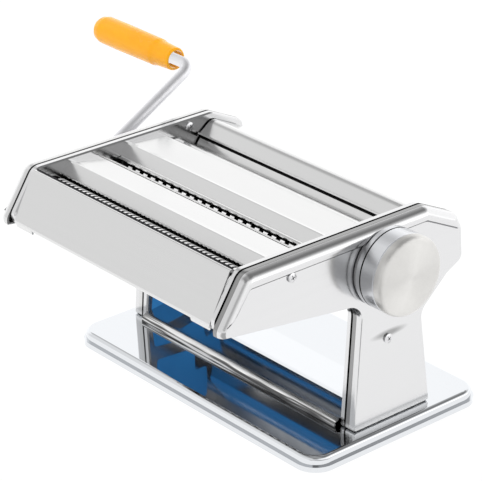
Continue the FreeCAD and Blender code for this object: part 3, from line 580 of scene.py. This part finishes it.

# %% [markdown]
# ## Polished sheet
# Each side is two sheets whose edges meet along the top in a dark joint, with painted shade on the
# inner flank of the bead beside it. Joint and flank are painted darker on the right than on the left,
# as painted shade.
# The foot of each leg has a painted highlight, and a short streak of painted shade lies over the screw
# of the right leg. The rounded nose of the slide plate has a painted dark reflection with painted
# glints. An oval that should run all along one direction gets a size far beyond the machine.

# %% Side sheets
LONG_X, LONG_Y, EVEN = (5.0, 900.0, 900.0), (900.0, 5.0, 900.0), (300.0, 300.0, 300.0)
ENDLESS = 900 * MM
JOINT = {"From": 84.3 * MM, "To": 85.7 * MM}
FLANK_SHADE = {"From": 85.6 * MM, "To": 88.4 * MM}
FOOT_HIGHLIGHT = {"Middle": (0.0, 2.0 * MM, 8.8 * MM), "Size": (ENDLESS, 90 * MM, 4.6 * MM)}
SCREW_SHADE_STREAK = {"Middle": (92.2 * MM, -1.9 * MM, 60.0 * MM), "Size": (4 * MM, 15.5 * MM, 3.0 * MM)}
# Grays of joint and flank for each side: the right side's are darker, as painted shade
SIDE_SHADE_GRAYS = {"right": (0.02, 0.27), "left": (0.30, 0.58)}

side_finish = {}
for side, (joint_and_shade_gray, flank_shade_gray) in SIDE_SHADE_GRAYS.items():
    finish = metal("side_sheet_" + side, (0.63, 0.63, 0.635), (0.60, 0.60, 0.605), (0.12, 0.22),
                   LONG_Y, bump=0.03, wave=0.04)
    # painted shade on the inner flank of the bead
    toned(finish, band, flank_shade_gray, dullness=0.2, **FLANK_SHADE)
    toned(finish, band, joint_and_shade_gray, dullness=0.6, **JOINT)
    # painted highlight along the foot of each leg
    toned(finish, streak, gray=0.97, dullness=0.5, **FOOT_HIGHLIGHT)
    # painted shade: a short dark streak over the screw of the right leg
    side_finish[side] = toned(finish, streak, gray=0.31, dullness=0.2, **SCREW_SHADE_STREAK)
print("finishes for", len(side_finish), "sides")

# %% Top, base and slide sheets
NOSE_SHADE_AND_GLINTS = {"Middle": (0.0, -30.5 * MM, 11.0 * MM), "Size": (ENDLESS, 7.5 * MM, 12 * MM)}

top_sheet = metal("top_sheet", (0.62, 0.62, 0.62), (0.597, 0.597, 0.597), (0.14, 0.24),
                  LONG_X, bump=0.03, wave=0.03)
base_mirror = metal("base_mirror", (0.63, 0.645, 0.665), (0.615, 0.63, 0.65), (0.02, 0.07),
                    LONG_X, bump=0.005, wave=0.02)
slide_mirror = metal("slide_mirror", (0.60, 0.615, 0.635), (0.58, 0.595, 0.615), (0.03, 0.09),
                     LONG_X, bump=0.05, wave=0.02)
# painted dark reflection on the rounded nose of the slide plate
toned(slide_mirror, streak, gray=0.10, dullness=0.3, **NOSE_SHADE_AND_GLINTS)
# painted glints over it, as highlights
toned(slide_mirror, glints, gray=0.85, dullness=0.35, **NOSE_SHADE_AND_GLINTS)
print("sheet finishes:", top_sheet.name, base_mirror.name, slide_mirror.name)

# %% [markdown]
# ## Other metals
# Screws, rollers, gears, bushes and brackets each have the usual finish of their trade.
# The knob has a satin wall with a groove painted black as painted shade before its front disc, and the
# disc is turned.
# The last four are painted shade for the creases, and painted highlights and shade for the narrow
# edges that are added further below.

# %% Metals by trade
KNOB_AXIS = (0.0, -6.4 * MM, 100.5 * MM)
KNOB_GAP_SHADE = {"From": 96.5 * MM, "To": 97.4 * MM}
GROUND = ((0.64, 0.64, 0.64), (0.60, 0.60, 0.60), (0.14, 0.26), LONG_Y)

bright_steel = metal("bright_steel", (0.63, 0.63, 0.64), (0.56, 0.56, 0.57), (0.16, 0.30), LONG_X)
zinc = metal("zinc_plate", (0.50, 0.51, 0.52), (0.40, 0.41, 0.42), (0.28, 0.45), EVEN, bump=0.05)
ground_steel = metal("ground_steel", *GROUND)
gear_steel = metal("gear_steel", (0.40, 0.40, 0.41), (0.30, 0.29, 0.28), (0.32, 0.5), EVEN,
                   bump=0.06)
bronze = metal("bearing_bronze", (0.60, 0.40, 0.22), (0.45, 0.28, 0.14), (0.30, 0.48), EVEN,
               bump=0.06)
crank_satin = metal("crank_satin", (0.79, 0.79, 0.81), (0.73, 0.73, 0.75), (0.46, 0.58), LONG_X)
knob_wall = metal("knob_wall", (0.66, 0.67, 0.69), (0.62, 0.63, 0.65), (0.26, 0.38), LONG_X)
# painted shade: the groove on the knob's wall is painted black
toned(knob_wall, band, gray=0.02, dullness=0.6, **KNOB_GAP_SHADE)
knob_satin = metal("knob_satin", (0.68, 0.672, 0.655), (0.64, 0.632, 0.615), (0.42, 0.50), EVEN)
ringed(knob_satin, KNOB_AXIS, strength=0.25)
turned_about(knob_satin, KNOB_AXIS, amount=0.85)
print("the knob is of", knob_wall.name, "and", knob_satin.name)

# %% Metals of creases and edges
# painted shade for the crease under the bead
crease_shade = metal("crease_shade", (0.22, 0.22, 0.23), (0.17, 0.17, 0.18), (0.3, 0.45), EVEN)
# painted highlights for the lips and the hem, painted shade for the curl
edge_highlight = metal("edge_highlight", (0.86, 0.86, 0.86), (0.80, 0.80, 0.80), (0.20, 0.32), LONG_X)
edge_pale_highlight = metal("edge_pale_highlight", (0.97, 0.97, 0.97), (0.92, 0.92, 0.92), (0.75, 0.90), LONG_X)
edge_shade = metal("edge_shade", (0.08, 0.08, 0.085), (0.05, 0.05, 0.055), (0.35, 0.5), LONG_X)
print("edges in", edge_highlight.name, edge_pale_highlight.name, edge_shade.name, "and", crease_shade.name)

# %% [markdown]
# ## Rollers
# In the two cutter slots only the ground lands shine, over grooves that are painted black as
# painted shade. Each roller has its own copy of the finish, because the mask needs its axis. The
# lands also give off a little painted light, in place of a strong lamp in front. The rear
# narrow roller is painted wholly dark as painted shade, and so are the tops of the two rollers that
# turn in under a sheet.

# %% Roller finishes
LAND, WHOLE_ROLLER_SHADE, CUTTER_HALF = 8.85 * MM, 20 * MM, 79.5 * MM
CUTTER_HEIGHT = 106.5 * MM
NO_SHADE, WIDE_SHADE, SMOOTH_SHADE = 500 * MM, 112.2 * MM, 111.0 * MM
# The grooves are painted almost black, as painted shade
GROOVE_SHADE_GRAY, GROOVE_DULLNESS, LAND_PAINTED_LIGHT = 0.012, 0.5, 0.3
# Each cutter: its axis, the radius of its painted groove shade, and the height above which painted
# shade covers it
CUTTERS = {"wide_roller_front": (-52.2 * MM, LAND, NO_SHADE),
           "wide_roller_rear": (-35.6 * MM, LAND, WIDE_SHADE),
           "narrow_roller_front": (-87.2 * MM, LAND, NO_SHADE),
           "narrow_roller_rear": (-70.6 * MM, WHOLE_ROLLER_SHADE, NO_SHADE)}

roller_finish = {}
for name, (axis, radius, top) in CUTTERS.items():
    finish = metal(name + "_steel", (0.92, 0.92, 0.92), (0.84, 0.84, 0.84), (0.42, 0.60), LONG_X)
    roller_finish[name] = toned(finish, core, GROOVE_SHADE_GRAY, GROOVE_DULLNESS, Radius=radius,
                                Axis=(0.0, axis, CUTTER_HEIGHT), Half=CUTTER_HALF, Top=top)
    # painted light: the lands glow, though they are no lamp
    if radius == LAND:
        paint_land_light(finish, LAND_PAINTED_LIGHT)
smooth_finish = metal("smooth_roller_rear_steel", *GROUND)
roller_finish["smooth_roller_rear"] = toned(smooth_finish, core, GROOVE_SHADE_GRAY, GROOVE_DULLNESS,
                                            Half=CUTTER_HALF, Top=SMOOTH_SHADE)
print("roller finishes:", len(roller_finish))

# %% [markdown]
# ## Plastics and rubber
# The grip is moulded in one piece of orange plastic that lets light in a little way, which
# subsurface scattering gives. The black parts are plain nylon, and the mat is rubber. The
# blue film has a faint painted glow, to make up for the little light that gets in under the machine.

# %% Recipe for plastic
CLOUD_SIZE, GRAIN_DEPTH = 30.0, 0.1 * MM
LIGHT_SPREAD, LIGHT_DEPTH, SOFT_SHINE = (1.0, 0.45, 0.1), 3.0 * MM, 0.25


def plastic(name, colour, deep, rough, grain, bump, glow=0.0):
    """Moulded plastic or rubber: two close colours in soft clouds under a fine grain."""
    material, tree, shader = blank(name)
    place = put(tree, "ShaderNodeTexCoord")
    marks = put(tree, "ShaderNodeGroup", node_tree=handling)
    marks.inputs["Size"].default_value = CLOUD_SIZE
    tint = put(tree, "ShaderNodeMix", data_type="RGBA")
    tint.inputs["A"].default_value = (*colour, 1.0)
    tint.inputs["B"].default_value = (*deep, 1.0)
    spread = put(tree, "ShaderNodeMapRange", To_Min=rough[0], To_Max=rough[1])
    pits = put(tree, "ShaderNodeTexNoise", Scale=grain, Detail=2.0)
    relief = put(tree, "ShaderNodeBump", Strength=bump, Distance=GRAIN_DEPTH)
    tree.links.new(place.outputs["Object"], marks.inputs["Vector"])
    tree.links.new(place.outputs["Object"], pits.inputs["Vector"])
    tree.links.new(marks.outputs["Marks"], tint.inputs["Factor"])
    tree.links.new(marks.outputs["Marks"], spread.inputs["Value"])
    tree.links.new(tint.outputs["Result"], shader.inputs["Base Color"])
    tree.links.new(spread.outputs[0], shader.inputs["Roughness"])
    tree.links.new(pits.outputs[0], relief.inputs["Height"])
    tree.links.new(relief.outputs[0], shader.inputs["Normal"])
    if glow:
        shader.inputs["Subsurface Weight"].default_value = glow
        shader.inputs["Subsurface Radius"].default_value = LIGHT_SPREAD
        shader.inputs["Subsurface Scale"].default_value = LIGHT_DEPTH
        shader.inputs["Specular IOR Level"].default_value = SOFT_SHINE
    return material


print("recipe for plastic ready")

# %% Plastics
orange = plastic("orange_grip", (0.95, 0.42, 0.010), (0.91, 0.37, 0.008), (0.22, 0.32),
                 grain=900.0, bump=0.04, glow=0.25)
nylon = plastic("nylon_black", (0.022, 0.022, 0.024), (0.035, 0.035, 0.037), (0.35, 0.5),
                grain=700.0, bump=0.15)
rubber = plastic("rubber_mat", (0.03, 0.03, 0.03), (0.05, 0.05, 0.05), (0.6, 0.8),
                 grain=500.0, bump=0.3)
# painted light: a paler copy of the black nylon, for a part that sits in shade
nylon_lightened = plastic("nylon_lightened", (0.35, 0.35, 0.36), (0.28, 0.28, 0.29), (0.35, 0.5),
                     grain=700.0, bump=0.15)
print("plastics:", orange.name, nylon.name, nylon_lightened.name, rubber.name)

# %% Blue film's painted light
FILM_PAINTED_LIGHT, FILM_PAINTED_GLOW, FILM_SHINE = (0.04, 0.20, 0.46, 1.0), 0.45, 0.1

film_blue = plastic("film_blue", (0.02, 0.13, 0.34), (0.015, 0.10, 0.28), (0.10, 0.22),
                    grain=60.0, bump=0.2)
lit = film_blue.node_tree.nodes["Principled BSDF"].inputs
# painted light: the film glows, though it is no lamp
lit["Emission Color"].default_value = FILM_PAINTED_LIGHT
lit["Emission Strength"].default_value = FILM_PAINTED_GLOW
lit["Specular IOR Level"].default_value = FILM_SHINE
print(film_blue.name, "glows with", FILM_PAINTED_GLOW)

# %% [markdown]
# ## Giving each solid its finish
# Each solid names the material slot that it was built for, and a few differ by where they
# are: sheet between the sides is polished along the rollers, and the sides along their
# length. A table from slot to finish, with the exceptions after it, is easy to check.

# %% Finish by slot
FINISH = {"base_sheet": base_mirror, "polished_sheet": top_sheet, "mat_rubber": rubber,
          "zinc_steel": zinc, "screw_steel": bright_steel, "gear_steel": gear_steel,
          "roller_steel": ground_steel, "cutter_steel": ground_steel, "bearing_bronze": bronze,
          "black_nylon": nylon, "knob_metal": knob_wall, "knob_face": knob_satin,
          "crank_steel": bright_steel, "grip_plastic": orange}
slot_of = {part["node"]: part["material_slot"] for part in frame["record"]["subparts"]}


def coat(piece, finish):
    """Puts one finish on the whole piece."""
    piece.data.materials.clear()
    piece.data.materials.append(finish)


for name, node in nodes.items():
    coat(node, roller_finish.get(name) or FINISH[slot_of[name]])
for side, finish in side_finish.items():
    coat(nodes["inner_side_" + side], finish)
    coat(nodes["outer_cover_" + side], finish)
coat(nodes["slide_plate"], slide_mirror)
coat(nodes["crank_rod"], crank_satin)
# painted light: the index ring is paler than black nylon, so that the shaded gap before the knob's
# disc is less black
coat(nodes["index_ring"], nylon_lightened)

# The photograph shows neither of these in the sheet, so they are left out of reflections
for name in ("grip", "crank_rod"):
    nodes[name].visible_glossy = False
print("finishes on", len(nodes), "solids")

# %% [markdown]
# ## Screws with a cross recess
# A pan head is a low dome with a cross pressed into it. It could be turned and then cut
# with a boolean. Here a square grid is bent into a round dome, the faces of a plus sign
# are pushed down, and the rim is drawn down and in to make the shank, which keeps the
# mesh clean.

# %% One screw
CELLS, BAR_HALF, ARM_HALF = 11, 1, 6
DOME, RECESS, RECESS_EDGE = 0.45, 0.6, 0.06 * MM
HEAD_R, HEAD_RISE, SHANK_R = 2.65 * MM, 1.45 * MM, 1.6 * MM


def ring_below(bm, edges, radius, height):
    """Draws the open rim to a new radius and height and returns the new rim."""
    drawn = bmesh.ops.extrude_edge_only(bm, edges=edges)["geom"]
    for v in (g for g in drawn if isinstance(g, bmesh.types.BMVert)):
        v.co.xy = v.co.xy.normalized() * radius
        v.co.z = height
    return [g for g in drawn if isinstance(g, bmesh.types.BMEdge)]


def pan_screw(place, side, turn, length):
    """One cross recess screw whose head sits at place and points along side * X."""
    bm = bmesh.new()
    bmesh.ops.create_grid(bm, x_segments=CELLS, y_segments=CELLS, size=1.0)
    rim = [e for e in bm.edges if e.is_boundary]
    middles = [(f, [abs(c) * CELLS for c in f.calc_center_median()[:2]]) for f in bm.faces]
    cross = [f for f, (a, b) in middles if min(a, b) < BAR_HALF and max(a, b) < ARM_HALF]
    for v in bm.verts:
        a, b = v.co.x, v.co.y
        a, b = a * math.sqrt(1 - b * b / 2), b * math.sqrt(1 - a * a / 2)
        v.co = (a * HEAD_R, b * HEAD_R, HEAD_RISE * (1 - DOME * (a * a + b * b)))
    bmesh.ops.inset_region(bm, faces=cross, thickness=RECESS_EDGE, depth=0.0)
    pressed = list({v for f in cross for v in f.verts})
    bmesh.ops.translate(bm, verts=pressed, vec=(0, 0, -RECESS * HEAD_RISE))
    for radius, height in ((HEAD_R, 0.0), (SHANK_R, 0.0), (SHANK_R, -length)):
        rim = ring_below(bm, rim, radius, height)
    bmesh.ops.holes_fill(bm, edges=rim)
    outward = Matrix.Rotation(math.radians(90 * side), 4, "Y")
    driven = Matrix.Rotation(math.radians(turn), 4, "Z")
    bmesh.ops.transform(bm, matrix=Matrix.Translation(place) @ outward @ driven, verts=bm.verts)
    return bm


print("a head is", round(2 * HEAD_R / MM, 2), "mm across")

# %% All the screws of a node


def screw_set(name, screws):
    """All the screws of one node as one piece that takes its place."""
    bm = bmesh.new()
    for side, x, y, z, turn, length in screws:
        one = pan_screw(Vector((x, y, z)) * MM, side, turn, length * MM)
        spare = bpy.data.meshes.new("one_screw")
        one.to_mesh(spare)
        one.free()
        bm.from_mesh(spare)
        bpy.data.meshes.remove(spare)
    piece = mesh_piece(name + "_crossed", bm)
    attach(piece, "root")
    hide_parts(name)
    coat(piece, bright_steel)
    print(piece.name, "has", len(piece.data.polygons), "faces")


COVER_SCREWS = [(92.2, -70.5, 114.2, 20.0, 3.2), (92.2, -2.9, 57.2, 35.0, 6.0)]
ROD_SCREWS = [(82.0, -104.0, 101.5, 5.0, 6.0), (82.0, 41.0, 89.0, 50.0, 6.0)]
WALL_SCREW = (-81.0, 7.6, 119.3, 10.0, 3.5)

screw_set("cover_screws", [(s, s * x, *rest) for x, *rest in COVER_SCREWS for s in (1, -1)])
screw_set("tie_rod_screws", [(s, s * x, *rest) for x, *rest in ROD_SCREWS for s in (1, -1)])
screw_set("wall_screws", [(s, s * WALL_SCREW[0], *WALL_SCREW[1:]) for s in (1, -1)])

# %% [markdown]
# ## A turned cap
# The front of the knob is one satin disc whose edge rolls over into the side. A profile is
# drawn once and spun about the axis; joining the last step to the first gives a skin
# without a seam.

# %% Knob cap
CAP_STEPS, MERGE = 96, 0.001 * MM
CAP_LINE = [(0.0, 112.2), (5.0, 112.18), (10.0, 112.12), (15.0, 112.02), (18.5, 111.9),
            (19.8, 111.75), (20.7, 111.45), (21.35, 110.95), (21.8, 110.2), (22.02, 109.2),
            (22.06, 108.0), (22.06, 106.9)]


def spun(name, line, axis, steps):
    """A skin of (radius, x) points turned about an axis along X."""
    bm = bmesh.new()
    verts = [bm.verts.new((x * MM, axis[1] + r * MM, axis[2])) for r, x in line]
    edges = [bm.edges.new(pair) for pair in zip(verts, verts[1:])]
    bmesh.ops.spin(bm, geom=verts + edges, cent=axis, axis=(1, 0, 0), angle=math.tau, steps=steps,
                   use_merge=True)
    bmesh.ops.remove_doubles(bm, verts=bm.verts, dist=MERGE)
    return mesh_piece(name, bm, smooth=True)


cap = spun("knob_cap_turned", CAP_LINE, KNOB_AXIS, CAP_STEPS)
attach(cap, "knob")
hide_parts("knob_cap")
coat(cap, knob_satin)
print(cap.name, "has", len(cap.data.polygons), "faces")

# %% [markdown]
# ## The crease under the bead
# Where the rolled bead meets the flat face, a thin line of painted shade is laid. It
# is a narrow strip that follows the edge of the face. Its corners are rounded by the
# same small function that any path can use.

# %% Crease
FACE, CREASE, CREASE_RISE = 92.22, 0.65, 0.4
EASE_SHARE, EASE_STEPS = 0.6, (0.0, 0.25, 0.5, 0.75, 1.0)
CREASE_LINE = [(-112.5, 100.1, 0.0), (-108.4, 102.0, 7.0), (-97.9, 116.7, 2.5), (23.5, 116.6, 3.5),
               (46.6, 105.4, 0.0)]


def eased(points):
    """The path through (y, z, radius) points with each inner corner replaced by a short curve."""
    path = [Vector(points[0][:2])]
    for before, here, after in zip(points, points[1:], points[2:]):
        corner, reach = Vector(here[:2]), here[2] * EASE_SHARE
        start = corner + (Vector(before[:2]) - corner).normalized() * reach
        stop = corner + (Vector(after[:2]) - corner).normalized() * reach
        path += [start.lerp(corner, t).lerp(corner.lerp(stop, t), t) for t in EASE_STEPS]
    return path + [Vector(points[-1][:2])]


def crease(name, side):
    """A narrow strip of painted shade along the foot of the bead on one side."""
    path = eased(CREASE_LINE)
    bm = bmesh.new()
    rows = []
    for k, here in enumerate(path):
        ahead = (path[min(k + 1, len(path) - 1)] - path[max(k - 1, 0)]).normalized()
        inwards = here + Vector((ahead.y, -ahead.x)) * CREASE
        rows.append([bm.verts.new((side * (FACE + CREASE_RISE) * MM, here.x * MM, here.y * MM)),
                     bm.verts.new((side * FACE * MM, inwards.x * MM, inwards.y * MM))])
    for (a, b), (c, d) in zip(rows, rows[1:]):
        bm.faces.new((a, b, d, c))
    piece = mesh_piece(name, bm, smooth=True)
    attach(piece, "root")
    coat(piece, crease_shade)


for label, side in (("right", 1), ("left", -1)):
    crease("bead_crease_" + label, side)
print("crease along", len(eased(CREASE_LINE)), "points a side")

# %% [markdown]
# ## Narrow edges of the top sheets
# The sheet over the cutters has thin turned edges. A level lip at the foot of each slope and
# along the rear of the front ridge shows as a white line: the middle lip and the hem are painted
# highlights.
# The curl along the top of the front panel is a dark one, of painted shade. Each is one strip drawn
# along the machine and shaded flat, so that every fold of it stays crisp.

# %% Edges
EDGE_HALF = 80.6 * MM
MIDDLE_LIP = [(-41.2, 115.45), (-41.5, 114.95), (-41.85, 115.1), (-43.5, 114.95), (-43.6, 114.5)]
FRONT_LIP = [(-80.85, 115.9), (-81.0, 115.72), (-81.5, 115.68), (-81.5, 115.4)]
FRONT_HEM = [(-57.2, 120.42), (-56.4, 120.12), (-50.7, 116.8), (-50.4, 116.4)]
PANEL_CURL = [(-98.2, 123.1), (-98.15, 124.1)]
EDGES = {"middle_divider_lip": (edge_highlight, MIDDLE_LIP), "front_divider_lip": (top_sheet, FRONT_LIP),
         "front_divider_hem": (edge_pale_highlight, FRONT_HEM), "front_panel_curl": (edge_shade, PANEL_CURL)}


def strip(name, line, half, smooth=False):
    """A sheet drawn along X through a line of (y, z) points."""
    bm = bmesh.new()
    verts = [bm.verts.new((-half, y * MM, z * MM)) for y, z in line]
    edges = [bm.edges.new(pair) for pair in zip(verts, verts[1:])]
    swept = bmesh.ops.extrude_edge_only(bm, edges=edges)["geom"]
    far_end = [v for v in swept if isinstance(v, bmesh.types.BMVert)]
    bmesh.ops.translate(bm, verts=far_end, vec=(2 * half, 0, 0))
    return mesh_piece(name, bm, smooth)


for name, (finish, line) in EDGES.items():
    edge = strip(name, line, EDGE_HALF)
    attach(edge, "root")
    coat(edge, finish)
    print(edge.name, "has", len(edge.data.polygons), "faces")

# %% [markdown]
# ## Blue film
# New sheet is sold under a thin blue film, and on this machine some of it is left on the
# guide plate and, torn in two, on the inner face of the left leg. It is mostly hidden, but
# the polished base mirrors it. Sheets a tenth of a millimetre off the steel are enough.

# %% Film
FILM = [(20.15, 60.5), (20.05, 61.7), (20.2, 63.45), (20.95, 65.05), (32.6, 81.45)]
FILM_OFF, FILM_HALF = 0.12, 79.5 * MM
LEG_FILM_X, TORN_CORNER = -80.88, 2.0 * MM
UPPER = [(-19.0, 37.0), (9.3, 39.0), (9.5, 54.0), (18.4, 54.0), (18.4, 74.0), (-18.6, 74.0)]
LOWER = [(-22.5, 10.5), (25.0, 10.5), (22.0, 33.0), (-20.5, 28.0)]


def filmed(film):
    """Makes a piece blue film."""
    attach(film, "root")
    coat(film, film_blue)
    print(film.name, "has", len(film.data.polygons), "faces")


filmed(strip("guide_film", [(y - FILM_OFF, z) for y, z in FILM], FILM_HALF, smooth=True))
for part, outline in (("upper", UPPER), ("lower", LOWER)):
    bm = bmesh.new()
    sheet = bm.faces.new([bm.verts.new((LEG_FILM_X * MM, y * MM, z * MM)) for y, z in outline])
    bmesh.ops.bevel(bm, geom=list(sheet.verts), offset=TORN_CORNER, segments=4, profile=0.5,
                    affect="VERTICES", material=-1)
    filmed(mesh_piece("leg_film_" + part, bm, smooth=True))

# %% [markdown]
# ## Sizes
# The box of the solids was printed where they were loaded. Nothing that was added here
# may stand out of the box of the solids.

# %% End
print("dressing done")
